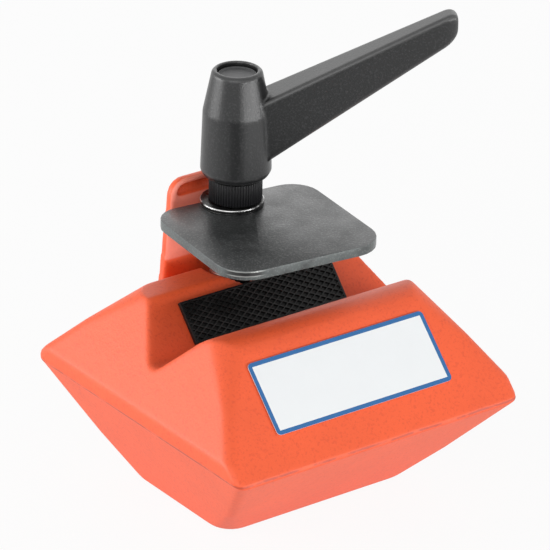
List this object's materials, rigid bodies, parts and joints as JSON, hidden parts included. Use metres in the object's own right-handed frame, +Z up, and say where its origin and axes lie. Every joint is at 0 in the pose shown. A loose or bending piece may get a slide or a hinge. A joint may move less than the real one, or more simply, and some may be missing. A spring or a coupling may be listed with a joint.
{
  "type": "clamp-on stage weight",
  "caption": "Coated cast double wedge with a rubber-padded vee channel, a clamp plate on a sprung stud, and an indexing clamp lever; clips onto a tube as ballast.",
  "frame": {"origin": "on the flat bottom face, below the centre of the rectangular parting line", "axes": "+Z up out of the bottom face; +X along the vee channel and the tube in it; -Y towards the front slope with the label; the lug stands at +Y"},
  "size_m": [0.116, 0.112, 0.1538],
  "materials": {
    "coating": "orange-red powder coat with a fine orange-peel texture over cast iron",
    "pad_rubber": "black moulded rubber with a raised diamond mesh",
    "label_film": "white film with a blue border, bare of any print",
    "plate_paint": "dark grey speckled coat, worn lighter on the edges",
    "zinc_steel": "bright zinc plated steel, lightly worn",
    "dark_steel": "blackened steel",
    "insert_black": "black oxide, slightly glossy, with upright ribs",
    "lever_coating": "matte dark grey coat over die-cast metal",
    "cap_plastic": "matte dark grey plastic"
  },
  "bodies": {
    "base": {"weight_casting": "coating", "front_jaw_pad": "pad_rubber", "rear_jaw_pad": "pad_rubber", "front_label": "label_film", "lift_spring": "zinc_steel"},
    "carriage": {"thrust_washer": "zinc_steel"},
    "plate": {"clamp_plate": "plate_paint", "spring_washer": "zinc_steel"},
    "screw": {"clamp_stud": "dark_steel", "lever_insert": "insert_black", "lever_screw": "dark_steel"},
    "index": {"lever_spring": "zinc_steel"},
    "lever": {"lever_handle": "lever_coating", "lever_cap": "cap_plastic"}
  },
  "joints": [
    {"name": "clamp_travel", "type": "slide", "parent": "base", "child": "carriage", "axis": [0, 0, 1], "range_m": [-0.0093, 0.012], "deforming": ["lift_spring"]},
    {"name": "screw_turn", "type": "hinge", "parent": "carriage", "child": "screw", "pos_m": [0, 0.0241, 0.0907], "axis": [0, 0, 1], "range_deg": [-2233, 2881]},
    {"name": "plate_swing", "type": "hinge", "parent": "carriage", "child": "plate", "pos_m": [0, 0.0241, 0.0873], "axis": [0, 0, 1], "range_deg": [-8.7, 21.3]},
    {"name": "lever_index", "type": "hinge", "parent": "screw", "child": "index", "pos_m": [0, 0.0241, 0.1191], "axis": [0, 0, 1], "continuous": true},
    {"name": "lever_lift", "type": "slide", "parent": "index", "child": "lever", "axis": [0, 0, 1], "range_m": [0, 0.004], "stiffness_N_per_m": 1200, "springref_m": -0.002, "deforming": ["lever_spring"]}
  ],
  "couplings": [
    {"joint": "screw_turn", "follows": "clamp_travel", "rad_per_m": 4188.8}
  ]
}
